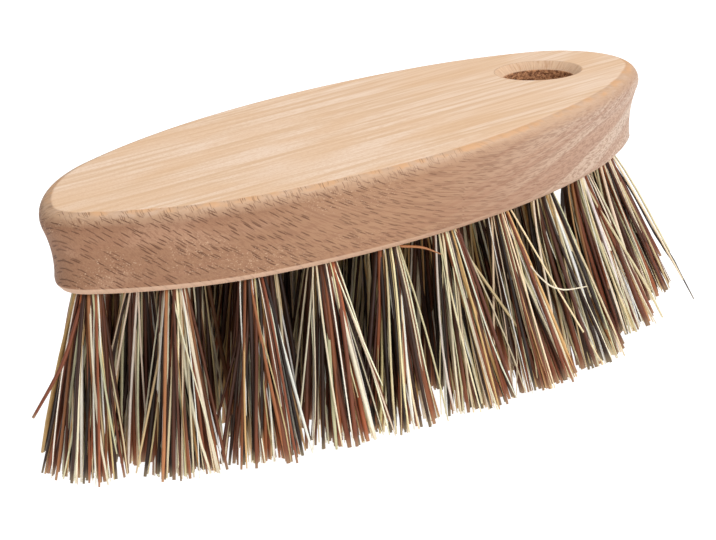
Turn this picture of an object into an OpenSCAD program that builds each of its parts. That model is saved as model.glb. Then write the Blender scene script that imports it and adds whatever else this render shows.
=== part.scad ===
// Oval scrub brush: a beech block with tufts of stiff plant fibre, each tuft folded
// over a flat wire anchor in its own drilled hole. The brush stands on its fibre tips
// at z = 0, with its length along X and the hanging hole towards +X.

/* [Block] */
// Length of the oval block
block_length = 190; // [170:1:215]
// Width of the oval block
block_width = 78; // [70:1:88]
// Thickness of the block
block_height = 19.2; // [17:0.1:24]
// Radius of the oval at its plain end
tip_end_r = 11; // [9:0.5:14]
// Radius of the oval at the end with the hanging hole
hole_end_r = 21.5; // [18:0.5:25]
// Radius of the shoulders that lead to the plain end
tip_shoulder_r = 71.5; // [62:0.5:82]
// Radius of the shoulders that lead to the end with the hole
hole_shoulder_r = 99.5; // [88:0.5:112]
// Flatness of the long sides, where 1 is the side of a true ellipse
side_flatness = 0.89; // [0.86:0.01:0.94]

/* [Block edges] */
// Radius of the rounded upper edge
top_round = 3.6; // [2:0.1:5]
// Angle by which the rounded edge turns under before the finger cove begins
roll_under = 24; // [16:1:30]
// Depth of the finger cove along the side
cove_depth = 2.7; // [1:0.1:3.5]
// Chamfer round the underside
under_chamfer = 1.4; // [0.5:0.1:2]

/* [Hanging hole] */
// Radius of the bore of the hanging hole
hang_r = 8.6; // [6:0.1:10]
// Chamfer at both mouths of the hanging hole
hang_chamfer = 1.9; // [0.5:0.1:2.5]
// Distance from the end of the block to the centre of the hanging hole
hang_inset = 25.6; // [23:0.1:32]

/* [Tuft layout] */
// Distance in from the block's edge to the centres of the edge row
edge_inset = 9.5; // [8.5:0.1:12]
// Distance between neighbouring tufts of the edge row
edge_pitch = 18.8; // [15:0.1:24]
// Distance between tufts along an inner row
inner_pitch = 17.5; // [16:0.1:26]
// Distance between inner rows
row_pitch = 14.5; // [13:0.1:20]
// Least distance from an inner tuft to the edge row
row_gap = 11.5; // [10:0.1:14]
// Least wood between a tuft hole and the mouth of the hanging hole
hang_web = 2; // [1:0.1:4]

/* [Tufts] */
// Radius of the drilled tuft holes
tuft_r = 2.7; // [2.2:0.1:3.2]
// Depth of the tuft holes below the underside
tuft_depth = 11; // [8:0.5:13]
// Gap between a tuft's root and the wall of its hole
tuft_gap = 0.05; // [0.02:0.01:0.1]
// Length by which the packed root stands out of its hole
root_out = 0.8; // [0.7:0.1:2]
// Length of the fibres below the block
fibre_length = 43; // [28:1:55]
// Angle at which the holes at the oval's edge are drilled outwards
splay = 12; // [0:1:15]

/* [Fibres] */
// Fibre strands in a tuft
strand_count = 12; // [8:1:12]
// Size of a strand across its corners
strand_size = 1; // [0.7:0.05:1.1]
// Share of the room between neighbouring tufts that a tuft's tips fill
fan_share = 0.46; // [0.3:0.01:0.47]
// Largest radius of a tuft at its tips
fan_limit = 8.5; // [6:0.1:9]
// Most that a strand is shorter than the longest ones
ragged = 3; // [0:0.1:5]
// Depth of the flat trim across the tips
trim = 0.5; // [0.1:0.1:1]

/* [Anchor wires] */
// Thickness of the flat wire
wire_thickness = 0.5; // [0.3:0.05:0.8]
// Width of the flat wire, along the hole
wire_width = 2; // [1.2:0.1:3]
// Length by which the wire bites into the wood on each side
wire_bite = 0.9; // [0.4:0.1:1.2]
// Thickness of the fibre fold between the wire and the bottom of the hole
fold = 1.2; // [0.8:0.1:2]

/* [Hidden] */
$fn = 96;
// Overlap that keeps a cut or a join clean
eps = 0.01;
// Depth inside the root from which a strand starts
strand_rooting = 1.2;
// Turn between successive strands of a tuft
golden_turn = 137.508;
// Turn of a strand's corners from one strand to the next
corner_turn = 30;
// Share of a tuft's fan by which its strands may fall short of it
fan_scatter = 0.1;
// How steeply the lean of the holes grows towards the edge row
lean_rise = 1.5;
// Amplitude and steps of the even scatter, and the shift that gives tips their own
scatter_wave = [97.3, 77.7, 151.3];
tip_shift = 5;
// Length by which a drill starts outside the face it cuts
drill_start = 2;
// Furthest that a straight piece of the outline strays from its arc
chord_error = 0.03;
// Steps up the finger cove and round the upper edge
cove_steps = 6;
round_steps = 9;

half_length = block_length / 2;
half_width = block_width / 2;
side_r = side_flatness * half_length * half_length / half_width;
underside_z = fibre_length;
top_z = underside_z + block_height;
hang_x = half_length - hang_inset;
root_r = tuft_r - tuft_gap;
strand_circle_r = root_r - strand_size / 2 - tuft_gap;

// Where two circles meet, on the right-hand side of the line from p to q
function meet(p, rp, q, rq) =
    let(
        d = norm(q - p),
        u = (q - p) / d,
        along = (d * d + rp * rp - rq * rq) / (2 * d),
        off = sqrt(max(0, rp * rp - along * along))
    )
    p + along * u + off * [u.y, -u.x];

// Arcs from one end of the oval to the middle of its side, as [centre, radius, from, to]
function quarter(end_r, shoulder_r) =
    let(
        end_c = [half_length - end_r, 0],
        side_c = [0, half_width - side_r],
        shoulder_c = meet(end_c, shoulder_r - end_r, side_c, side_r - shoulder_r),
        a = atan2(end_c.y - shoulder_c.y, end_c.x - shoulder_c.x),
        b = atan2(shoulder_c.y - side_c.y, shoulder_c.x - side_c.x)
    )
    [[end_c, end_r, 0, a], [shoulder_c, shoulder_r, a, b], [side_c, side_r, b, 90]];

function mirrored(arc) = [[-arc[0].x, arc[0].y], arc[1], 180 - arc[3], 180 - arc[2]];

// Arcs along the side at +Y, from the hole end round to the plain end
hole_quarter = quarter(hole_end_r, hole_shoulder_r);
tip_quarter = quarter(tip_end_r, tip_shoulder_r);
half_oval = concat(hole_quarter, [for (i = [2:-1:0]) mirrored(tip_quarter[i])]);

// Points along an arc, close enough that a chord strays less than a tolerance
function arc_points(arc) =
    let(steps = ceil((arc[3] - arc[2]) / (2 * acos(1 - chord_error / arc[1]))))
    [
        for (k = [0:steps - 1])
            let(turn = arc[2] + (arc[3] - arc[2]) * k / steps)
            [arc[0].x + arc[1] * cos(turn), arc[0].y + arc[1] * sin(turn), turn]
    ];

// Whole outline, anticlockwise from the hole end, as [x, y, outward direction]
half_outline = [for (arc = half_oval) each arc_points(arc)];
outline = concat(
    half_outline,
    [[-half_length, 0, 180]],
    [for (k = [len(half_outline) - 1:-1:1]) let(o = half_outline[k]) [o.x, -o.y, -o.z]]
);

// Edge of the block from the underside up, as [distance inside the outline, height]
roll_c = [top_round, block_height - top_round];
cove_r = cove_depth / (1 - cos(roll_under)) - top_round;
cove_c = roll_c + (top_round + cove_r) * [-cos(roll_under), -sin(roll_under)];
cove_foot = asin((cove_c.y - under_chamfer) / cove_r);
edge_profile = concat(
    [[cove_depth + under_chamfer, 0]],
    [
        for (k = [0:cove_steps - 1])
            let(a = -cove_foot + (cove_foot + roll_under) * k / cove_steps)
            cove_c + cove_r * [cos(a), sin(a)]
    ],
    [
        for (k = [0:round_steps])
            let(a = -roll_under + (90 + roll_under) * k / round_steps)
            roll_c + top_round * [-cos(a), sin(a)]
    ]
);

// Length of an arc once it is drawn in by an inset
function arc_length(arc, inset) = max(0, arc[1] - inset) * (arc[3] - arc[2]) * PI / 180;
function half_length_at(inset, i = 0) =
    i == len(half_oval) ? 0 : arc_length(half_oval[i], inset) + half_length_at(inset, i + 1);

// Place at a distance along the drawn-in half oval, as [x, y, outward direction]
function along_oval(inset, s, i = 0) =
    let(arc = half_oval[i], l = arc_length(arc, inset))
    s > l && i < len(half_oval) - 1
        ? along_oval(inset, s - l, i + 1)
        : let(
              turn = arc[2] + (arc[3] - arc[2]) * min(1, s / max(l, eps)),
              r = max(0, arc[1] - inset)
          )
          [arc[0].x + r * cos(turn), arc[0].y + r * sin(turn), turn];

// Edge row: the half at +Y with both ends, and its mirror image at -Y
edge_steps = round(half_length_at(edge_inset) / edge_pitch);
edge_step = half_length_at(edge_inset) / edge_steps;
edge_half = [for (k = [0:edge_steps]) along_oval(edge_inset, k * edge_step)];
edge_row = concat(
    edge_half,
    [for (k = [edge_steps - 1:-1:1]) let(t = edge_half[k]) [t.x, -t.y, -t.z]]
);

// Inner rows: a staggered grid, kept where it clears the edge row and the hanging hole
function clear_of_edge(p) = min([for (t = edge_row) norm(p - [t.x, t.y])]) >= row_gap;
function clear_of_hang(p) =
    norm(p - [hang_x, 0]) >= hang_r + hang_chamfer + hang_web + tuft_r;
function within_edge_row(p) =
    pow(p.x / (half_length - edge_inset), 2) + pow(p.y / (half_width - edge_inset), 2) < 1;
row_reach = ceil(half_width / row_pitch);
column_reach = ceil(half_length / inner_pitch);
inner_rows = [
    for (j = [-row_reach:row_reach])
        for (i = [-column_reach:column_reach])
            let(p = [(i + (j % 2 == 0 ? 0 : 0.5)) * inner_pitch, j * row_pitch])
            if (within_edge_row(p) && clear_of_edge(p) && clear_of_hang(p))
                [p.x, p.y, atan2(p.y / half_width, p.x / half_length)]
];

tufts = concat(edge_row, inner_rows);
edge_total = len(edge_row);

// How far out a tuft stands, from 0 in the middle to 1 in the edge row
function reach(t) =
    min(1, norm([t.x / (half_length - edge_inset), t.y / (half_width - edge_inset)]));
function lean(t) = splay * pow(reach(t), lean_rise);

// Middle of a tuft's tips on the ground
function tip_centre(t) = [t.x, t.y] + underside_z * tan(lean(t)) * [cos(t.z), sin(t.z)];

// Radius of a tuft at its tips, kept clear of its neighbours
function fan(i) =
    let(c = tip_centre(tufts[i]))
    min(fan_limit, fan_share * min([
        for (j = [0:len(tufts) - 1]) if (j != i) norm(c - tip_centre(tufts[j]))
    ]));

// Even scatter from 0 to 1, the same at every run
function scatter(a, b) =
    let(v = scatter_wave[0] * sin(a * scatter_wave[1] + b * scatter_wave[2])) v - floor(v);

// Tufts that mirror each other carry the same strands
function twin(i) =
    i >= edge_total ? i : min(i, edge_total - i) % edge_steps;

// Level ring of four corners round a point
function ring(c, r, turn) =
    [for (k = [0:3]) c + r * [cos(turn + 90 * k), sin(turn + 90 * k), 0]];

// Root and tip of a strand, where the tips in reach of the ground are trimmed flat
function strand_ends(i, k) =
    let(
        t = tufts[i],
        side = t.y < -eps ? -1 : 1,
        spiral = side * golden_turn * k,
        out = sqrt((k + 0.5) / strand_count),
        local = strand_circle_r * out * [cos(spiral), sin(spiral)],
        rise = strand_rooting - root_out,
        root = seat(t, [local.x, local.y, rise]),
        fan_r = fan(i) * out * (1 - fan_scatter * scatter(twin(i), k)),
        tip_xy = tip_centre(t) + fan_r * [cos(spiral + t.z), sin(spiral + t.z)],
        short = scatter(k, twin(i) + tip_shift),
        tip_z = max(0, ragged * short * short - trim)
    )
    [root, [tip_xy.x, tip_xy.y, tip_z]];

// Point of a tuft's own frame, set in its leaning hole
function seat(t, p) =
    let(
        a = lean(t),
        out = p.x * cos(a) - p.z * sin(a),
        up = p.x * sin(a) + p.z * cos(a)
    )
    [
        t.x + out * cos(t.z) - p.y * sin(t.z),
        t.y + out * sin(t.z) + p.y * cos(t.z),
        underside_z + up
    ];

function two_digits(n) = n < 10 ? str("0", n) : str(n);
function tuft_name(i) =
    i < edge_total
        ? str("edge_tuft_", two_digits(i + 1))
        : str("inner_tuft_", two_digits(i - edge_total + 1));

tuft_names = [for (i = [0:len(tufts) - 1]) tuft_name(i)];

// Rings of the block from the underside up, each a copy of the outline drawn in
module block_body() {
    n = len(outline);
    rings = [
        for (e = edge_profile)
            [for (o = outline) [o.x - e.x * cos(o.z), o.y - e.x * sin(o.z), e.y]]
    ];
    translate([0, 0, underside_z])
        polyhedron(
            points = [for (r = rings) each r],
            faces = concat(
                [[for (i = [0:n - 1]) i]],
                [[for (i = [n - 1:-1:0]) (len(rings) - 1) * n + i]],
                [
                    for (k = [0:len(rings) - 2], i = [0:n - 1])
                        let(a = k * n + i, b = k * n + (i + 1) % n)
                        each [[a, a + n, b], [b, a + n, b + n]]
                ]
            )
        );
}

module hanging_hole() {
    mouth = hang_chamfer + eps;
    translate([hang_x, 0, underside_z - drill_start])
        cylinder(h = block_height + 2 * drill_start, r = hang_r);
    translate([hang_x, 0, top_z - hang_chamfer]) cylinder(h = mouth, r1 = hang_r, r2 = hang_r + mouth);
    translate([hang_x, 0, underside_z - eps]) cylinder(h = mouth, r1 = hang_r + mouth, r2 = hang_r);
}

// Children in a tuft's own frame: origin at the mouth of its hole, +Z into the wood
module at_tuft(t) {
    translate([t.x, t.y, underside_z]) rotate([0, 0, t.z]) rotate([0, -lean(t), 0]) children();
}

module tuft_hole() {
    translate([0, 0, -drill_start]) cylinder(h = tuft_depth + drill_start, r = tuft_r);
}

module anchor_wire() {
    span = 2 * (tuft_r + wire_bite);
    translate([-wire_thickness / 2, -span / 2, tuft_depth - fold - wire_width])
        cube([wire_thickness, span, wire_width]);
}

module block() {
    color("BurlyWood")
        difference() {
            block_body();
            hanging_hole();
            for (t = tufts) at_tuft(t) tuft_hole();
            for (t = tufts) at_tuft(t) anchor_wire();
        }
}

module anchor_wires() {
    color("Silver")
        for (t = tufts) at_tuft(t) anchor_wire();
}

// Straight four-sided strand with its root inside the packed root of the tuft
module strand(ends, turn) {
    a = ring(ends[0], strand_size / 2, turn);
    b = ring(ends[1], strand_size / 2, turn);
    polyhedron(
        points = concat(a, b),
        faces = concat(
            [[0, 2, 1], [0, 3, 2], [4, 5, 6], [4, 6, 7]],
            [for (k = [0:3]) let(n = (k + 1) % 4) each [[k, n, k + 4], [n, n + 4, k + 4]]]
        )
    );
}

module tuft(i) {
    t = tufts[i];
    color(i % 2 == 0 ? "SaddleBrown" : "Wheat") {
        difference() {
            at_tuft(t) translate([0, 0, -root_out]) cylinder(h = tuft_depth + root_out, r = root_r);
            at_tuft(t) anchor_wire();
        }
        for (k = [0:strand_count - 1]) strand(strand_ends(i, k), corner_turn * k);
    }
}

block();
anchor_wires();
for (i = [0:len(tufts) - 1]) {
    tuft(i);
}
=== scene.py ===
import math
from collections import namedtuple

import bmesh
import bpy
import numpy as np
from mathutils import Matrix, Vector


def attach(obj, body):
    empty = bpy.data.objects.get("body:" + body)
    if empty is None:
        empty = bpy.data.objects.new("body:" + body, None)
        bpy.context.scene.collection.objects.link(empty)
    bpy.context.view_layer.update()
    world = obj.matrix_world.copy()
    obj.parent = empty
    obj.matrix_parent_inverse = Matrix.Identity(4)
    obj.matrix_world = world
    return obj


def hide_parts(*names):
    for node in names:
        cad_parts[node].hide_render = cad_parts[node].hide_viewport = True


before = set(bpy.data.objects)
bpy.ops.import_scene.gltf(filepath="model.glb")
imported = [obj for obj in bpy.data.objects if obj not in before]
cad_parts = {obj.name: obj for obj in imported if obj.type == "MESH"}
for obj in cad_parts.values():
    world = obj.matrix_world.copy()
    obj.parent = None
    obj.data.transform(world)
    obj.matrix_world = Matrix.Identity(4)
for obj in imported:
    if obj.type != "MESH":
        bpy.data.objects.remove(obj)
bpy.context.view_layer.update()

# Sizes are in millimetres and Blender's are in metres
MM = 0.001

# The block and its tufts, as the part's source draws them
BLOCK_LENGTH, BLOCK_WIDTH, BLOCK_HEIGHT = 190.0, 78.0, 19.2
TIP_END_R, HOLE_END_R = 11.0, 21.5
TIP_SHOULDER_R, HOLE_SHOULDER_R = 71.5, 99.5
SIDE_FLATNESS = 0.89
TOP_ROUND, ROLL_UNDER, COVE_DEPTH, UNDER_CHAMFER = 3.6, 24.0, 2.7, 1.4
HANG_R, HANG_CHAMFER, HANG_INSET = 8.6, 1.9, 25.6
EDGE_INSET, EDGE_PITCH, INNER_PITCH = 9.5, 18.8, 17.5
ROW_PITCH, ROW_GAP, HANG_WEB = 14.5, 11.5, 2.0
TUFT_R, TUFT_DEPTH, FIBRE_LENGTH, SPLAY = 2.7, 11.0, 43.0, 12.0
LEAN_POWER = 1.5

HALF_LENGTH, HALF_WIDTH = BLOCK_LENGTH / 2, BLOCK_WIDTH / 2
UNDERSIDE, TOP = FIBRE_LENGTH, FIBRE_LENGTH + BLOCK_HEIGHT
HANG_X = HALF_LENGTH - HANG_INSET


# Camera


def look(azimuth, elevation, roll, distance, target, lens):
    """The camera stands back from the target, as the brush is seen in the photograph."""
    az, el, turn = map(math.radians, (azimuth, elevation, roll))
    back = Vector((math.sin(az) * math.cos(el), -math.cos(az) * math.cos(el), math.sin(el)))
    level = Vector((math.cos(az), math.sin(az), 0))
    above = back.cross(level)
    right = level * math.cos(turn) + above * math.sin(turn)
    up = above * math.cos(turn) - level * math.sin(turn)
    data = bpy.data.cameras.new("camera")
    data.lens = lens
    data.clip_start, data.clip_end = 0.05, 50
    camera = bpy.data.objects.new("camera", data)
    bpy.context.scene.collection.objects.link(camera)
    rows = [(right[k], up[k], back[k], (target[k] + back[k] * distance) * MM) for k in range(3)]
    camera.matrix_world = Matrix(rows + [(0, 0, 0, 1)])
    bpy.context.scene.camera = camera


# Finishes

# Inputs and output of a Mix node that mixes colours
MIX_FIRST, MIX_SECOND, MIX_RESULT = 6, 7, 2


class Value:
    """A shader socket that can stand in a sum."""

    def __init__(self, finish, socket):
        self.finish, self.socket = finish, socket

    def worked(self, operation, *values):
        return self.finish.node("ShaderNodeMath", {"operation": operation}, *values)

    def __add__(self, other):
        return self.worked("ADD", self, other)

    def __sub__(self, other):
        return self.worked("SUBTRACT", self, other)

    def __mul__(self, other):
        return self.worked("MULTIPLY", self, other)

    def __truediv__(self, other):
        return self.worked("DIVIDE", self, other)

    def __pow__(self, other):
        return self.worked("POWER", self, other)

    def __rsub__(self, other):
        return self.worked("SUBTRACT", other, self)

    def __abs__(self):
        return self.worked("ABSOLUTE", self)

    __radd__, __rmul__ = __add__, __mul__

    def step(self, low, high):
        """0 below low, 1 above high, and smooth between; low may be the higher one."""
        if low > high:
            return 1 - self.step(high, low)
        settings = {"interpolation_type": "SMOOTHSTEP", "clamp": True}
        return self.finish.node("ShaderNodeMapRange", settings, self, low, high, 0.0, 1.0)

    def least(self, other):
        return self.worked("MINIMUM", self, other)

    def most(self, other):
        return self.worked("MAXIMUM", self, other)


class Finish:
    """A material and the one way its nodes are added."""

    def __init__(self, name):
        self.material = bpy.data.materials.new(name)
        self.material.use_nodes = True
        self.tree = self.material.node_tree
        self.tree.nodes.clear()

    def plug(self, socket, value):
        """Link a socket to a value, or set it to a constant."""
        if isinstance(value, Value):
            self.tree.links.new(value.socket, socket)
        else:
            socket.default_value = value

    def node(self, kind, settings, *values, out=0, **named):
        """Add a node, with sockets given by place or by name, and return one of its outputs."""
        made = self.tree.nodes.new(kind)
        for key, setting in settings.items():
            setattr(made, key, setting)
        for place, value in enumerate(values):
            self.plug(made.inputs[place], value)
        for name, value in named.items():
            self.plug(made.inputs[name.replace("_", " ")], value)
        return Value(self, made.outputs[out]) if made.outputs else None

    def place(self):
        """Place in millimetres, as three values."""
        here = self.node("ShaderNodeTexCoord", {}, out="Object")
        scale = (1 / MM, 1 / MM, 1 / MM)
        return self.split(self.node("ShaderNodeVectorMath", {"operation": "MULTIPLY"}, here, scale))

    def split(self, vector):
        first = self.node("ShaderNodeSeparateXYZ", {}, vector)
        return [Value(self, first.socket.node.outputs[k]) for k in range(3)]

    def join(self, x, y, z):
        return self.node("ShaderNodeCombineXYZ", {}, x, y, z)

    def kept(self, name, out="Fac"):
        """A value that a mesh keeps on its points."""
        return self.node("ShaderNodeAttribute", {"attribute_name": name}, out=out)

    def noise(self, x, y, z, detail=2.0, roughness=0.5):
        """Soft noise; a coordinate divided by 60 gives streaks about 60 mm long that way."""
        return self.node("ShaderNodeTexNoise", {}, Vector=self.join(x, y, z), Scale=1.0,
                         Detail=detail, Roughness=roughness, Distortion=0.0)

    def cells(self, across, along, out="Distance"):
        """Scattered cells on a flat sheet, one to each unit of both coordinates."""
        return self.node("ShaderNodeTexVoronoi", {"voronoi_dimensions": "2D"}, Scale=1.0, out=out,
                         Randomness=0.8, Vector=self.join(across, along, 0.0))

    def strokes(self, across, along, share):
        """A short stroke in a share of the cells, and a chance value for each."""
        chance, weight, _ = self.split(self.cells(across, along, out="Color"))
        shape = self.cells(across, along).step(0.27, 0.17)
        return shape * chance.step(1 - share - 0.03, 1 - share + 0.03), weight

    def mix(self, share, first, second, how="MIX"):
        settings = {"data_type": "RGBA", "blend_type": how}
        mixed = self.node("ShaderNodeMix", settings, share, out=MIX_RESULT)
        sockets = mixed.socket.node.inputs
        self.plug(sockets[MIX_FIRST], first)
        self.plug(sockets[MIX_SECOND], second)
        return mixed

    def bump(self, height, depth):
        """Relief of a depth in millimetres."""
        return self.node("ShaderNodeBump", {}, Strength=1.0, Distance=depth * MM, Height=height)

    def surface(self, **inputs):
        shader = self.node("ShaderNodeBsdfPrincipled", {}, **inputs)
        self.node("ShaderNodeOutputMaterial", {}, shader)
        return self.material


def tint(red, green, blue):
    """Linear colour of an sRGB one given from 0 to 255."""
    return tuple(
        c / 12.92 if c <= 0.04045 else ((c + 0.055) / 1.055) ** 2.4
        for c in (red / 255, green / 255, blue / 255)
    ) + (1.0,)


# Beech on top
PALE_STREAK, PEACH_STREAK = tint(250, 222, 197), tint(233, 195, 157)
HONEY_CLOUD, FINE_STREAK = tint(236, 194, 152), tint(226, 184, 146)
# Beech on the side, from the plain end to the hole end: darker at the plain end as painted shade,
# paler at the hole end as painted light and sheen
SHADED_PLAIN_END, WARM_SIDE, LIT_PALE_SIDE = tint(150, 108, 80), tint(170, 129, 98), tint(210, 187, 168)
DARK_RING, PALE_RING, FINE_GRAIN = tint(154, 106, 80), tint(192, 152, 124), tint(136, 95, 71)
RAY, SPECK, LIT_CHAMFER = tint(104, 66, 44), tint(210, 174, 144), tint(212, 176, 150)
# Beech over the rounded edge
ROUNDED, BURNISHED, CURL = tint(188, 150, 120), tint(226, 170, 116), tint(132, 88, 62)
# Beech round the hanging hole
CONE, CONE_PALE, CONE_DARK = tint(222, 186, 154), tint(240, 208, 168), tint(196, 146, 104)
BORE_SHADE, BORE_HIGHLIGHT = tint(98, 52, 27), tint(216, 158, 112)


def beech():
    """Oiled beech: streaks on top, rays on the side, curls on the edge, marks in the hole."""
    finish = Finish("beech")
    mix, noise = finish.mix, finish.noise
    x, y, z = finish.place()
    _, _, facing = finish.split(finish.node("ShaderNodeTexCoord", {}, out="Normal"))

    # Where the top, the side, the rounded edge and its burnished lip are
    ragged = noise(x / 2.2, y / 2.2, z / 1.6)
    ragged_facing = facing + (ragged - 0.5) * 0.3
    standing = facing.step(-0.98, -0.9)
    side = ragged_facing.step(0.9, 0.45) * standing
    rounded = facing.step(0.998, 0.97) * facing.step(0.1, 0.5)
    lip = facing.step(0.999, 0.985) * ragged_facing.step(0.72, 0.92)

    # The grain slants down towards the hole end, most at the plain end
    left_x = x.least(30)
    slant = z + left_x * 0.2 - left_x * left_x * 0.00325
    # Distance along the edge, near enough
    hole_half = x.step(-1, 1)
    run = x + (abs(y) + (BLOCK_WIDTH - abs(y) * 2) * hole_half) * 0.8

    # Streaks of the flat top
    fine = noise(x / 22, y / 0.45, slant / 0.4, roughness=0.65)
    silk = noise(x / 45, (y + x * 0.06) / 1.8, z / 1.6, detail=3.0, roughness=0.6)
    cloud = noise(x / 40, y / 12, z / 9)
    top = mix(silk.step(0.36, 0.62), PEACH_STREAK, PALE_STREAK)
    top = mix(cloud.step(0.44, 0.62) * 0.5, top, HONEY_CLOUD)
    top = mix(fine.step(0.42, 0.66) * 0.45, top, FINE_STREAK)

    # Growth rings of the side
    warp = noise(x / 60, y / 40, z / 14)
    ring = noise(x / 200 + 3, y / 60, (z - x * 0.17 + warp * 5) / 2.2, detail=3.0, roughness=0.6)
    broad = noise(x / 90, y / 14, (z - x * 0.12) / 7)
    # Painted light: the side is painted darker towards the plain end as shade and paler towards the
    # hole end as light and sheen
    cheek = mix(x.step(-20, 95), WARM_SIDE, LIT_PALE_SIDE)
    cheek = mix(x.step(-20, -90) * 0.8, cheek, SHADED_PLAIN_END)
    cheek = mix(ring.step(0.46, 0.64) * (x.step(-40, 50) * 0.3 + 0.25), cheek, DARK_RING)
    cheek = mix(broad.step(0.5, 0.7) * 0.35, cheek, PALE_RING)
    cheek = mix(fine.step(0.46, 0.6) * 0.5, cheek, FINE_GRAIN)
    wood = mix(side, top, cheek)

    # Burnished lip, and the darker, curled grain that runs over the rounded edge
    burnish = noise(x / 6, y / 6, z / 3, detail=3.0)
    wood = mix(rounded * (ragged * 0.5 + 0.42), wood, ROUNDED)
    wood = mix(lip * burnish.step(0.42, 0.64) * 0.6, wood, BURNISHED)
    curl, curl_weight = finish.strokes((run * 0.87 + z * 0.5 + ragged) / 0.5,
                                       (run * 0.5 - z * 0.87) / 3.2, share=0.85)
    curl = curl * rounded * x.step(60, -50)
    wood = mix(curl * (curl_weight * 0.5 + 0.25), wood, CURL)

    # Short dark rays of the side, pale specks among them, and painted light that makes the chamfer
    # under it paler
    wobble = noise(x / 3, y / 3, z / 3, detail=1.0)
    ray, ray_weight = finish.strokes(run / 6.2 + slant * 0.55, (slant + wobble * 0.5) / 0.68,
                                     share=0.75)
    ray = ray * side * x.step(60, -75).most(0.2)
    wood = mix(ray * (ray_weight * 0.4 + 0.55), wood, RAY)
    speck = noise(x / 0.5, y / 0.5, z / 0.35, detail=1.0)
    specks = speck.step(0.6, 0.72) * cloud.step(0.45, 0.6) * side * x.step(30, -50)
    wood = mix(specks * 0.6, wood, SPECK)
    # Painted light: the chamfer is painted paler, most at the plain end, for the light its face
    # catches from the floor
    chamfer_top = UNDERSIDE + UNDER_CHAMFER
    chamfer = z.step(chamfer_top + 0.2, chamfer_top - 0.1) * standing
    wood = mix(chamfer * x.step(70, -60).most(0.4) * 0.75, wood, LIT_CHAMFER)

    wood, hole_height = hanging_hole(finish, (x, y, z), wood)
    height = fine * 0.3 + silk * 0.2 + side * speck * 0.5 - ray * 0.8 - curl * 0.6 + hole_height
    return finish.surface(
        Base_Color=wood,
        Roughness=0.52 + side * 0.08 + fine * 0.08,
        Specular_IOR_Level=0.35,
        Normal=finish.bump(height, 0.1),
    )


def hanging_hole(finish, place, wood):
    """Radial cutter marks on the hole's chamfer, and its end-grain bore painted dark as shade,
    streaked with painted highlight.
    """
    mix, noise = finish.mix, finish.noise
    x, y, z = place
    out_x, rim_r = x - HANG_X, HANG_R + HANG_CHAMFER
    spoke = finish.node("ShaderNodeMath", {"operation": "ARCTAN2"}, y, out_x)
    away = (out_x * out_x + y * y) ** 0.5
    cone = away.step(rim_r + 0.12, rim_r - 0.05)
    bore = away.step(HANG_R + 0.2, HANG_R + 0.02)
    marks = noise(spoke * 22, away / 4, 0.0, detail=3.0, roughness=0.7)
    pores = noise(spoke * 9, z / 0.8, 0.0, detail=3.0, roughness=0.8)
    wood = mix(cone, wood, CONE)
    wood = mix(cone * marks.step(0.48, 0.7) * 0.6, wood, CONE_PALE)
    wood = mix(cone * marks.step(0.47, 0.36) * 0.5, wood, CONE_DARK)
    # Painted shade: the bore is painted dark, with streaks of painted highlight
    wood = mix(bore, wood, mix(pores.step(0.35, 0.66), BORE_SHADE, BORE_HIGHLIGHT))
    return wood, cone * marks + bore * pores * 2.5


def fibre():
    """Stiff plant fibre: each strand's own colour, streaked, and painted darker as shade deep in
    the brush and at the root.
    """
    finish = Finish("plant fibre")
    mix, noise = finish.mix, finish.noise
    along, seed, depth = map(finish.kept, ("along", "seed", "depth"))
    x, y, z = finish.place()
    streak = noise(x / 0.4 + seed * 40, y / 0.4, z / 9, roughness=0.6)
    blotch = noise(seed * 90, along * 6, 0.5)
    shade = 0.68 + streak * 0.5 + blotch * 0.3
    own = finish.kept("fibre_colour", out="Color")
    colour = mix(1.0, own, finish.join(shade, shade, shade), how="MULTIPLY")
    colour = mix(along.step(0.93, 1.0) * 0.3, colour, tint(214, 190, 150))
    # Painted shade: fibres deep in the brush are darkened by their depth, most towards the block,
    # less towards their tips
    colour = mix(depth * along.step(1.0, 0.55) * 0.86, colour, tint(38, 22, 12))
    # Painted shade: each fibre is darkened at its root, just under the block
    colour = mix(along.step(0.1, 0.05) * 0.7, colour, tint(30, 18, 11))
    return finish.surface(
        Base_Color=colour,
        Roughness=0.4 + streak * 0.25,
        Specular_IOR_Level=0.35,
        Normal=finish.bump(streak, 0.05),
    )


def steel():
    """Flat drawn anchor wire."""
    finish = Finish("anchor wire")
    x, y, z = finish.place()
    drawn = finish.noise(x / 0.2, y / 4, z / 0.2)
    return finish.surface(
        Base_Color=finish.mix(drawn, (0.46, 0.45, 0.43, 1), (0.62, 0.61, 0.58, 1)),
        Metallic=1.0,
        Roughness=0.28 + drawn * 0.2,
        Normal=finish.bump(drawn, 0.02),
    )


# The oval and its tufts, as the part's source works them out


def meet(p, rp, q, rq):
    """Where two circles meet, on the right-hand side of the line from p to q."""
    d = math.dist(p, q)
    ux, uy = (q[0] - p[0]) / d, (q[1] - p[1]) / d
    along = (d * d + rp * rp - rq * rq) / (2 * d)
    off = math.sqrt(max(0.0, rp * rp - along * along))
    return p[0] + along * ux + off * uy, p[1] + along * uy - off * ux


def quarter(end_r, shoulder_r):
    """Arcs from one end of the oval to the middle of its side: centre, radius, from, to."""
    side_r = SIDE_FLATNESS * HALF_LENGTH**2 / HALF_WIDTH
    end_c, side_c = (HALF_LENGTH - end_r, 0.0), (0.0, HALF_WIDTH - side_r)
    shoulder_c = meet(end_c, shoulder_r - end_r, side_c, side_r - shoulder_r)
    a = math.atan2(end_c[1] - shoulder_c[1], end_c[0] - shoulder_c[0])
    b = math.atan2(shoulder_c[1] - side_c[1], shoulder_c[0] - side_c[0])
    return [(end_c, end_r, 0.0, a), (shoulder_c, shoulder_r, a, b),
            (side_c, side_r, b, math.pi / 2)]


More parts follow.
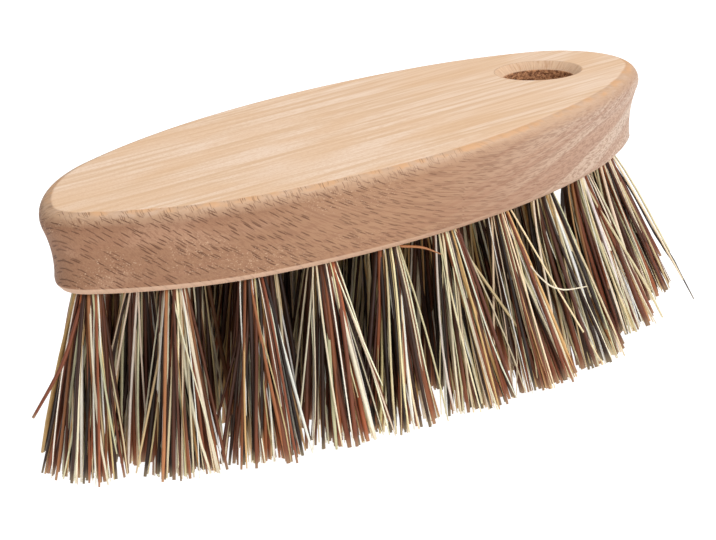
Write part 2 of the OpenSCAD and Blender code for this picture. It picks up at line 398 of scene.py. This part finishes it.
def half_oval():
    """Arcs along the side at +Y, from the hole end round to the plain end."""
    arcs = quarter(HOLE_END_R, HOLE_SHOULDER_R)
    for centre, r, a, b in reversed(quarter(TIP_END_R, TIP_SHOULDER_R)):
        arcs.append(((-centre[0], centre[1]), r, math.pi - b, math.pi - a))
    return arcs


ARCS = half_oval()


def outline(step):
    """Whole outline, anticlockwise from the hole end, as x, y, outward direction."""
    half = []
    for (cx, cy), r, a, b in ARCS:
        n = max(2, math.ceil(r * (b - a) / step))
        for k in range(n):
            t = a + (b - a) * k / n
            half.append((cx + r * math.cos(t), cy + r * math.sin(t), t))
    rest = [(x, -y, -t) for x, y, t in reversed(half[1:])]
    return np.array(half + [(-HALF_LENGTH, 0.0, math.pi)] + rest)


def along_oval(inset, s):
    """Point at a distance s along the half oval, which is drawn in by an inset."""
    for k, ((cx, cy), r, a, b) in enumerate(ARCS):
        length = (r - inset) * (b - a)
        if s <= length or k == len(ARCS) - 1:
            t = a + (b - a) * min(1.0, s / length)
            return cx + (r - inset) * math.cos(t), cy + (r - inset) * math.sin(t), t
        s -= length


def tuft_places():
    """Tufts of the edge row, then of the inner rows, as x, y, outward direction."""
    total = sum((r - EDGE_INSET) * (b - a) for _, r, a, b in ARCS)
    steps = round(total / EDGE_PITCH)
    edge = [along_oval(EDGE_INSET, k * total / steps) for k in range(steps + 1)]
    edge += [(x, -y, -t) for x, y, t in reversed(edge[1:-1])]
    inner = []
    rows, columns = math.ceil(HALF_WIDTH / ROW_PITCH), math.ceil(HALF_LENGTH / INNER_PITCH)
    for j in range(-rows, rows + 1):
        for i in range(-columns, columns + 1):
            x, y = (i + (0.5 if j % 2 else 0.0)) * INNER_PITCH, j * ROW_PITCH
            to_edge = min(math.hypot(x - e[0], y - e[1]) for e in edge)
            to_hang = math.hypot(x - HANG_X, y) - HANG_R - HANG_CHAMFER - HANG_WEB - TUFT_R
            if out_share(x, y) < 1 and to_edge >= ROW_GAP and to_hang >= 0:
                inner.append((x, y, math.atan2(y / HALF_WIDTH, x / HALF_LENGTH)))
    return edge, inner


def out_share(x, y):
    """How far out a tuft stands: 0 in the middle of the block and 1 about at the edge row."""
    return math.hypot(x / (HALF_LENGTH - EDGE_INSET), y / (HALF_WIDTH - EDGE_INSET))


def lean_of(x, y):
    """Angle of a tuft's hole."""
    return math.radians(SPLAY * min(1.0, out_share(x, y)) ** LEAN_POWER)


# Block

# Steps round the oval, the cove, the rounded edge, the hanging hole and a tuft's hole
OUTLINE_STEP, COVE_STEPS, ROUND_STEPS, HANG_SIDES, MOUTH_SIDES = 1.1, 12, 16, 128, 28
# Size of a softened corner, and width of the flat strip that keeps a flat face's shading flat
SOFT, STRIP = 0.1, 0.5
# The modelled tuft holes are this much shallower than the drilled ones
HOLE_SPARE = 0.5


def edge_profile():
    """Edge of the block from the underside up, as inset and height, with softened corners."""
    under = math.radians(ROLL_UNDER)
    roll = (TOP_ROUND, BLOCK_HEIGHT - TOP_ROUND)
    cove_r = COVE_DEPTH / (1 - math.cos(under)) - TOP_ROUND
    cove = (roll[0] - (TOP_ROUND + cove_r) * math.cos(under),
            roll[1] - (TOP_ROUND + cove_r) * math.sin(under))
    foot = math.asin((cove[1] - UNDER_CHAMFER) / cove_r)
    start = COVE_DEPTH + UNDER_CHAMFER
    line = [(start + STRIP, 0.0), (start + SOFT * 1.5, 0.0), (start - SOFT, SOFT)]
    first = (cove[0] + cove_r * math.cos(foot), cove[1] - cove_r * math.sin(foot))
    line += [(first[0] + SOFT * 1.4, first[1] - SOFT * 1.4),
             (first[0] - SOFT * 0.2, first[1] + SOFT * 1.8)]
    for k in range(1, COVE_STEPS):
        a = -foot + (foot + under) * k / COVE_STEPS
        line.append((cove[0] + cove_r * math.cos(a), cove[1] + cove_r * math.sin(a)))
    for k in range(ROUND_STEPS + 1):
        a = -under + (math.pi / 2 + under) * k / ROUND_STEPS
        line.append((roll[0] - TOP_ROUND * math.cos(a), roll[1] + TOP_ROUND * math.sin(a)))
    line.append((roll[0] + STRIP, BLOCK_HEIGHT))
    return line


def hang_profile():
    """Hanging hole from the underside up, as radius and height, with softened corners."""
    wide = HANG_R + HANG_CHAMFER
    rim = [(wide + SOFT * 4, 0.0), (wide + SOFT * 0.6, 0.0), (wide - SOFT * 0.6, SOFT * 0.8),
           (HANG_R + SOFT * 0.8, HANG_CHAMFER - SOFT), (HANG_R, HANG_CHAMFER + SOFT)]
    return [(r, UNDERSIDE + h) for r, h in rim] + [(r, TOP - h) for r, h in reversed(rim)]


def ring_of(bm, points):
    return [bm.verts.new(Vector(p) * MM) for p in points]


def wall(bm, low, high, outward=True):
    """Band of faces between two rings."""
    for k in range(len(low)):
        n = (k + 1) % len(low)
        corners = [low[k], low[n], high[n], high[k]]
        bm.faces.new(corners if outward else corners[::-1])


def fill(bm, rings, up):
    """Flat face between an outer ring and the holes in it."""
    edges = []
    for ring in rings:
        for k in range(len(ring)):
            pair = (ring[k], ring[(k + 1) % len(ring)])
            edges.append(bm.edges.get(pair) or bm.edges.new(pair))
    made = bmesh.ops.triangle_fill(bm, edges=edges, use_beauty=True)
    for face in made["geom"]:
        if isinstance(face, bmesh.types.BMFace):
            face.normal_update()
            if (face.normal.z > 0) != up:
                face.normal_flip()


def circle(x, y, z, r):
    turns = [math.tau * k / HANG_SIDES for k in range(HANG_SIDES)]
    return [(x + r * math.cos(t), y + r * math.sin(t), z) for t in turns]


def tuft_mouth(bm, x, y, turn):
    """A leaning drilled hole, and the ring of its mouth."""
    lean = lean_of(x, y)
    out = Vector((math.cos(turn), math.sin(turn), 0))
    across = Vector((-math.sin(turn), math.cos(turn), 0))
    axis = Vector((0, 0, math.cos(lean))) - out * math.sin(lean)
    mouth = []
    for k in range(MOUTH_SIDES):
        t = math.tau * k / MOUTH_SIDES
        u, v = TUFT_R * math.cos(t) / math.cos(lean), TUFT_R * math.sin(t)
        mouth.append(Vector((x, y, UNDERSIDE)) + out * u + across * v)
    low = ring_of(bm, mouth)
    high = ring_of(bm, [p + axis * (TUFT_DEPTH - HOLE_SPARE) for p in mouth])
    wall(bm, low, high, outward=False)
    bm.faces.new(high[::-1])
    for ring in (low, high):
        for k in range(MOUTH_SIDES):
            bm.edges.get((ring[k], ring[(k + 1) % MOUTH_SIDES])).smooth = False
    return low


def placed(mesh, name, material):
    """Smooth-shaded object of a mesh, with its finish."""
    mesh.shade_smooth()
    mesh.materials.append(material)
    made = bpy.data.objects.new(name, mesh)
    bpy.context.scene.collection.objects.link(made)
    return made


def finished(bm, name, material):
    mesh = bpy.data.meshes.new(name)
    bm.to_mesh(mesh)
    bm.free()
    return placed(mesh, name, material)


def turned_block(material, tufts):
    """The beech block, with its cove, rounded edge, hanging hole and tuft holes."""
    bm = bmesh.new()
    line = outline(OUTLINE_STEP)
    rings = []
    for inset, height in edge_profile():
        rings.append(ring_of(bm, [(x - inset * math.cos(t), y - inset * math.sin(t),
                                   UNDERSIDE + height) for x, y, t in line]))
    for low, high in zip(rings, rings[1:]):
        wall(bm, low, high)
    hole = [ring_of(bm, circle(HANG_X, 0, z, r)) for r, z in hang_profile()]
    for low, high in zip(hole, hole[1:]):
        wall(bm, low, high, outward=False)
    mouths = [tuft_mouth(bm, *t) for t in tufts]
    fill(bm, [rings[-1], hole[-1]], up=True)
    fill(bm, [rings[0], hole[0], *mouths], up=False)
    return finished(bm, "beech_block", material)


# Fibres

# Colours, each with how common it is
CREAM_TONES = [(tint(242, 228, 196), 5), (tint(232, 214, 174), 4), (tint(212, 188, 140), 3),
               (tint(250, 242, 226), 3), (tint(200, 160, 106), 2), (tint(208, 202, 164), 1)]
BROWN_TONES = [(tint(126, 68, 42), 5), (tint(94, 51, 33), 4), (tint(150, 86, 53), 3.5),
               (tint(58, 36, 26), 4), (tint(172, 114, 71), 1.5), (tint(38, 25, 18), 2.5)]

# Kinds of fibre: range of its radius, how far its tip and its middle wander, how often its tip
# strays, rings and sides of its tube, how uneven it is, its radius at the tip as a share, the
# least flatness of its section, how much of its tuft's shade it takes, and its colours
Kind = namedtuple("Kind", "radius wander bow stray rings sides uneven tip flatness shade tones")
BROWN = Kind((0.34, 0.6), 0.7, 0.5, 0.06, 8, 6, 0.07, 0.8, 0.6, 1.0, BROWN_TONES)
CREAM = Kind((0.18, 0.34), 1.1, 0.9, 0.12, 7, 4, 0.03, 0.6, 0.5, 0.3, CREAM_TONES)
# Share of the cream fibres that are stout, and their radius
STOUT_SHARE, STOUT_RADIUS = 0.2, (0.36, 0.56)

# Fibres in a tuft, and how many of them are brown
FIBRES, BROWN_FIBRES = 112, 54
# Turn from one fibre to the next that fills a round hole evenly
EVEN_TURN = 2.39996
# Fibres start this deep in their hole and this far from its wall
ROOT_DEPTH, WALL_GAP = 2.5, 0.05
# They are trimmed to this much past the length of the solid strands, or this far off the floor
TRIM_SPARE, FLOOR_GAP = 2.5, 0.1
# Unevenness of the trim, and the share of fibres that are short by a length in a range
TRIM_SCATTER, SHORT_SHARE, SHORT_BY = 0.6, 0.06, (2, 12)
# How far a tuft's tips spread outwards and along its row
EDGE_FAN, INNER_FAN = (8.0, 11.0), (9.0, 9.6)
# Scatter of the point that a tuft aims at, and how much further a stray tip wanders
AIM_SCATTER, STRAY_WANDER = 0.9, 4
# Where the tufts start to be pressed open, over what length, and their lean before and after,
# as shares of their hole's
PRESS_START, PRESS_LENGTH, PRESS_LEAST, PRESS_MORE = -12, 42, 0.5, 1.2
# Further lean of the tufts that face along the brush, in degrees
PLAIN_END_LEAN, HOLE_END_LEAN = 1.5, 4.0
# Where the tufts start to fan wider, over what length, by what share, and how far their fibres
# flare just under the block before and after
OPEN_START, OPEN_LENGTH, OPEN_FAN, FLARE, OPEN_FLARE = 20, 30, 0.25, 1.6, 5
# Where the fibres start to be worn shorter, over what length and by how much
WEAR_START, WEAR_LENGTH, WEAR = 40, 40, 7.0
# The tuft at the tip of the hole end aims towards +Y and is fanned wider
LAST_TUFT_X, LAST_TUFT_SHIFT, LAST_TUFT_FAN = 80, 7, 1.5
# Handles of a fibre's curve, as a share of its length, and the pull of its hole on the first one
HANDLE, HOLE_PULL = 0.33, 0.35
# Shade of an inner tuft's fibres
INNER_SHADE = 0.85
FIRST_SEED = 100


def choose(draw, tones):
    """A colour from a list of tones, a little lighter or darker and warmer or cooler."""
    weights = np.array([w for _, w in tones])
    k = draw.choice(len(tones), p=weights / weights.sum())
    colour = np.array(tones[k][0][:3]) * draw.uniform(0.8, 1.25)
    return np.clip(colour * draw.uniform(0.94, 1.06, 3), 0, 1)


def ramp(x, start, length):
    """0 up to start and 1 from a length past it."""
    return min(1.0, max(0.0, (x - start) / length))


class Strands:
    """Closed tubes gathered into one mesh, with each strand's colour and painted shade on its
    points.
    """

    def __init__(self):
        self.points, self.faces, self.colours, self.painted_shades = [], [], [], []
        self.along, self.seeds, self.maps = [], [], []
        self.count = 0

    def add(self, path, radii, sides, flat, turn, colour, seed, depth=0.0):
        """One strand along a path of points, with a flattened section."""
        path = np.asarray(path, float)
        rings, base = len(path), self.count
        run = np.gradient(path, axis=0)
        run /= np.linalg.norm(run, axis=1)[:, None]
        level = np.cross(run, (0.0, 0.0, 1.0))
        upright = np.linalg.norm(level, axis=1) < 0.05
        level[upright] = np.cross(run[upright], (0.0, 1.0, 0.0))
        level /= np.linalg.norm(level, axis=1)[:, None]
        second = np.cross(run, level)
        a = math.tau * np.arange(sides) / sides
        u, v = np.cos(a), np.sin(a) * flat
        level_share = u * math.cos(turn) - v * math.sin(turn)
        second_share = u * math.sin(turn) + v * math.cos(turn)
        section = (level[:, None, :] * level_share[None, :, None]
                   + second[:, None, :] * second_share[None, :, None])
        body = path[:, None, :] + np.asarray(radii)[:, None, None] * section
        self.points.append(body.reshape(-1, 3))
        share = np.linspace(0, 1, rings)
        self.along.append(np.repeat(share, sides))
        self.colours.append(np.tile(colour, (rings * sides, 1)))
        self.seeds.append(np.full(rings * sides, seed))
        # The strand's painted shade, kept on its points as depth
        self.painted_shades.append(np.full(rings * sides, depth))
        for k in range(rings - 1):
            low, high = base + k * sides, base + (k + 1) * sides
            for j in range(sides):
                n = (j + 1) % sides
                self.faces.append((low + j, high + j, high + n, low + n))
                left, right = j / sides, (j + 1) / sides
                self.maps.append((seed, [(left, share[k]), (left, share[k + 1]),
                                         (right, share[k + 1]), (right, share[k])]))
        self.cap(seed, base, range(sides), 0.0)
        self.cap(seed, base + (rings - 1) * sides, range(sides - 1, -1, -1), 1.0)
        self.count += rings * sides

    def cap(self, seed, start, order, share):
        """Close one end of a strand."""
        self.faces.append(tuple(start + j for j in order))
        self.maps.append((seed, [(j / len(order), share) for j in order]))

    def made(self, name, material):
        """The gathered strands as one object, with a strip of its map for each of them."""
        mesh = bpy.data.meshes.new(name)
        mesh.from_pydata(np.concatenate(self.points) * MM, [], self.faces)
        colours = np.concatenate(self.colours)
        colours = np.concatenate([colours, np.ones((len(colours), 1))], axis=1)
        layer = mesh.attributes.new("fibre_colour", "FLOAT_COLOR", "POINT")
        layer.data.foreach_set("color", colours.ravel().astype(np.float32))
        for key, values in (("along", self.along), ("seed", self.seeds), ("depth", self.painted_shades)):
            layer = mesh.attributes.new(key, "FLOAT", "POINT")
            layer.data.foreach_set("value", np.concatenate(values).astype(np.float32))
        layer = mesh.uv_layers.new(name="OFBake")
        order = {s: k for k, s in enumerate(sorted({s for s, _ in self.maps}))}
        strip = 1 / len(order)
        flat = [((order[s] + 0.05 + 0.9 * u) * strip, 0.01 + 0.98 * v)
                for s, corners in self.maps for u, v in corners]
        layer.data.foreach_set("uv", np.array(flat, np.float32).ravel())
        return placed(mesh, name, material)


def curve(start, leave, arrive, end, points):
    """Points of a smooth curve with given handles."""
    t = np.linspace(0, 1, points)[:, None]
    a, b, c, d = map(np.asarray, (start, leave, arrive, end))
    return (1 - t)**3 * a + 3 * (1 - t)**2 * t * b + 3 * (1 - t) * t**2 * c + t**3 * d


def squared(t):
    """How much further a round tuft reaches towards the corners of its cell."""
    return 1 / max(abs(math.cos(t)), abs(math.sin(t))) ** 0.6


def push_of(x, y, turn):
    """Angle at which a tuft stands, pressed open further towards the hole end."""
    share = ramp(x, PRESS_START, PRESS_LENGTH)
    pressed = PRESS_LEAST + PRESS_MORE * share * share * (3 - 2 * share)
    end = PLAIN_END_LEAN * max(0.0, -math.cos(turn)) ** 2 * max(0.0, -x / HALF_LENGTH)
    end += HOLE_END_LEAN * max(0.0, math.cos(turn)) ** 2 * max(0.0, x / HALF_LENGTH)
    return lean_of(x, y) * pressed + math.radians(end)


class Tuft:
    """Where one tuft stands and points, how far its tips spread and where they are cut."""

    def __init__(self, place, draw, fan_out, fan_along):
        x, y, turn = place
        lean = lean_of(x, y)
        self.out = np.array((math.cos(turn), math.sin(turn), 0))
        self.across = np.array((-math.sin(turn), math.cos(turn), 0))
        self.axis = self.out * math.sin(lean) - np.array((0, 0, math.cos(lean)))
        self.mouth = np.array((x, y, UNDERSIDE))
        reach = FIBRE_LENGTH * math.tan(push_of(x, y, turn))
        self.foot = np.array((x, y, 0)) + self.out * reach
        self.foot += np.append(draw.normal(0, AIM_SCATTER, 2), 0)
        opened = ramp(x, OPEN_START, OPEN_LENGTH)
        self.fan_out, self.fan_along = fan_out, fan_along * (1 + OPEN_FAN * opened)
        if x > LAST_TUFT_X:
            self.foot += self.across * LAST_TUFT_SHIFT
            self.fan_along *= LAST_TUFT_FAN
        self.flare = FLARE + OPEN_FLARE * opened
        self.cut = (FIBRE_LENGTH + TRIM_SPARE) / math.cos(lean)
        self.cut -= WEAR * ramp(x, WEAR_START, WEAR_LENGTH)

    def fibre_path(self, draw, kind, radius, r, t):
        """Path of one fibre, from a place in the hole at r and t to its trimmed tip."""
        at = self.out * math.cos(t) + self.across * math.sin(t)
        root = self.mouth + at * (TUFT_R - radius - WALL_GAP) * r - self.axis * ROOT_DEPTH
        cross = draw.normal(0, kind.wander, 2)
        if draw.random() < kind.stray:
            cross = cross * STRAY_WANDER
        loose = draw.uniform(-1, 1, 2)
        wide = squared(t) * r**0.85
        tip = self.foot + self.out * self.fan_out * (math.cos(t) * wide * 0.5 + loose[0] * 0.5)
        tip += self.across * self.fan_along * (math.sin(t) * wide * 0.5 + loose[1] * 0.6)
        tip[:2] += cross
        way = (tip - root) / np.linalg.norm(tip - root)
        short = abs(draw.normal(0, TRIM_SCATTER))
        if draw.random() < SHORT_SHARE:
            short += draw.uniform(*SHORT_BY)
        to_floor = (root[2] - radius * 0.5 - FLOOR_GAP) / -way[2]
        length = min(self.cut - short, to_floor)
        tip = root + way * length
        leave = root + (self.axis * HOLE_PULL + way * (1 - HOLE_PULL)) * length * HANDLE
        leave += self.out * (2 * r * math.cos(t)) + self.across * (r * math.sin(t) * self.flare)
        bow = np.append(draw.normal(0, kind.bow, 2), 0)
        arrive = tip - way * length * HANDLE + bow
        return curve(root, leave, arrive, tip, kind.rings)


def bundle(place, seed, fan_out, fan_along, inner):
    """One tuft: stiff brown strands and finer cream ones, fanning from their hole."""
    draw = np.random.default_rng(seed)
    tuft = Tuft(place, draw, fan_out, fan_along)
    strands = Strands()
    brown = set(draw.choice(FIBRES, BROWN_FIBRES, replace=False).tolist())
    swirl = draw.uniform(0, math.tau)
    for k in range(FIBRES):
        kind = BROWN if k in brown else CREAM
        r = math.sqrt((k + 0.5) / FIBRES)
        t = swirl + k * EVEN_TURN
        radius = draw.uniform(*kind.radius)
        if kind is CREAM and draw.random() < STOUT_SHARE:
            radius = draw.uniform(*STOUT_RADIUS)
        path = tuft.fibre_path(draw, kind, radius, r, t)
        radii = radius * (1 + draw.normal(0, kind.uneven, kind.rings))
        radii[-1] *= kind.tip
        # Painted shade: an edge tuft is painted dark in its middle and on its inward side
        edge_shade = min(0.9, 0.95 * (1 - r**2) + 0.45 * (1 - math.cos(t)) * r)
        depth = INNER_SHADE if inner else edge_shade
        strands.add(
            path, radii, kind.sides,
            flat=draw.uniform(kind.flatness, 1.0),
            turn=draw.uniform(0, math.pi),
            colour=choose(draw, kind.tones),
            seed=(k + 0.5) / FIBRES,
            depth=depth * kind.shade,
        )
    return strands


# Single fibres that stand out from the rest, each from its tuft's hole: points, radii, colour
STRAYS = [
    # Dark, out past the plain end
    ([(-86.6, 0, 43), (-94.2, 0, 28.4), (-99.3, 0, 23.1), (-105.1, 0, 17.6)],
     (0.55, 0.55, 0.5, 0.4), (122, 66, 42)),
    # Cream, thin and curved, in front of the tufts right of the middle
    ([(19.5, -29.5, 43), (22.1, -32.8, 33.3), (22.7, -37.5, 27.7), (23.6, -41, 24.7),
      (26.4, -43.2, 23.3), (33, -44.5, 23)],
     (0.2, 0.22, 0.22, 0.22, 0.2, 0.12), (242, 230, 204)),
    # Nearly black, with a knot, towards the hole end
    ([(75.8, -14.6, 43), (82, -17.5, 32), (86.8, -20, 20.9), (88.1, -21, 18.7),
      (89.3, -21.4, 16.5), (91.4, -22, 13.1), (93.6, -22, 9.9), (98.9, -22, 1.6)],
     (0.3, 0.28, 0.3, 0.66, 0.72, 0.55, 0.26, 0.16), (44, 30, 24)),
    # Tan sliver just under the block
    ([(-18.3, -28.9, 43), (-17.6, -30, 41.9), (-10.7, -33, 40.6), (-5.3, -34, 37.7)],
     (0.3, 0.36, 0.34, 0.12), (168, 112, 72)),
]
# Points for each given one, rounds of smoothing, and section of a stray fibre
STRAY_POINTS, STRAY_ROUNDS, STRAY_SIDES, STRAY_FLAT, STRAY_TURN = 4, 2, 6, 0.8, 0.4


def strays():
    strands = Strands()
    for k, (points, radii, colour) in enumerate(STRAYS):
        given = np.linspace(0, 1, len(points))
        wanted = np.linspace(0, 1, STRAY_POINTS * len(points))
        path = np.column_stack([np.interp(wanted, given, c) for c in zip(*points)])
        for _ in range(STRAY_ROUNDS):
            path[1:-1] = (path[:-2] + path[1:-1] * 2 + path[2:]) / 4
        strands.add(path, np.interp(wanted, given, radii), STRAY_SIDES, STRAY_FLAT, STRAY_TURN,
                    np.array(tint(*colour)[:3]), (k + 0.5) / len(STRAYS))
    return strands


# Floor and light

# Half the floor's width, and how far it lies under the tips, in millimetres
FLOOR_HALF, FLOOR_DROP = 4000, 0.05


def lamp(name, place, aim, size, power):
    """Soft square light; its place, aim and size are in metres and its power in watts."""
    data = bpy.data.lights.new(name, "AREA")
    data.shape, data.size, data.size_y = "RECTANGLE", size, size
    data.energy = power
    made = bpy.data.objects.new(name, data)
    bpy.context.scene.collection.objects.link(made)
    made.location = place
    made.rotation_mode = "QUATERNION"
    made.rotation_quaternion = (Vector(aim) - Vector(place)).to_track_quat("-Z", "Y")


def floor():
    finish = Finish("white sweep")
    white = finish.surface(Base_Color=(0.3, 0.3, 0.3, 1), Roughness=0.9, Specular_IOR_Level=0.0,
                           Emission_Color=(1, 1, 1, 1), Emission_Strength=1.0)
    bm = bmesh.new()
    corners = [(-1, -1), (1, -1), (1, 1), (-1, 1)]
    bm.faces.new(ring_of(bm, [(x * FLOOR_HALF, y * FLOOR_HALF, 0) for x, y in corners]))
    made = finished(bm, "floor", white)
    made.location.z = -FLOOR_DROP * MM


def studio():
    world = bpy.data.worlds.new("studio")
    world.use_nodes = True
    sky = world.node_tree.nodes["Background"].inputs
    sky["Color"].default_value = (1, 1, 1, 1)
    sky["Strength"].default_value = 0.28
    bpy.context.scene.world = world
    bpy.context.scene.view_settings.view_transform = "Standard"
    lamp("overhead", (0.1, 0.1, 1.1), (0, 0, 0.04), size=1.1, power=7.5)
    lamp("right fill", (1.1, -0.5, 0.45), (0, 0, 0.04), size=0.6, power=5.0)
    lamp("front key", (-0.45, -1.05, 0.42), (0, 0, 0.03), size=0.5, power=6.5)


# Assembly

look(azimuth=-46.906, elevation=14.712, roll=-2.672, distance=1349.8,
     target=(2.585, 0.0, 27.365), lens=289.2)

edge_tufts, inner_tufts = tuft_places()
beech_finish, fibre_finish, steel_finish = beech(), fibre(), steel()

block = turned_block(beech_finish, edge_tufts + inner_tufts)
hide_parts("block")
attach(block, "root")

seed = FIRST_SEED
for row, places, fan in (("edge", edge_tufts, EDGE_FAN), ("inner", inner_tufts, INNER_FAN)):
    for k, place in enumerate(places):
        name = f"{row}_tuft_{k + 1:02d}"
        piece = bundle(place, seed, *fan, row == "inner").made(f"{name}_fibres", fibre_finish)
        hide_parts(name)
        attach(piece, "root")
        seed += 1

loose = strays().made("stray_fibres", fibre_finish)
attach(loose, "root")

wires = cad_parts["anchor_wires"]
wires.data.materials.clear()
wires.data.materials.append(steel_finish)

floor()
studio()
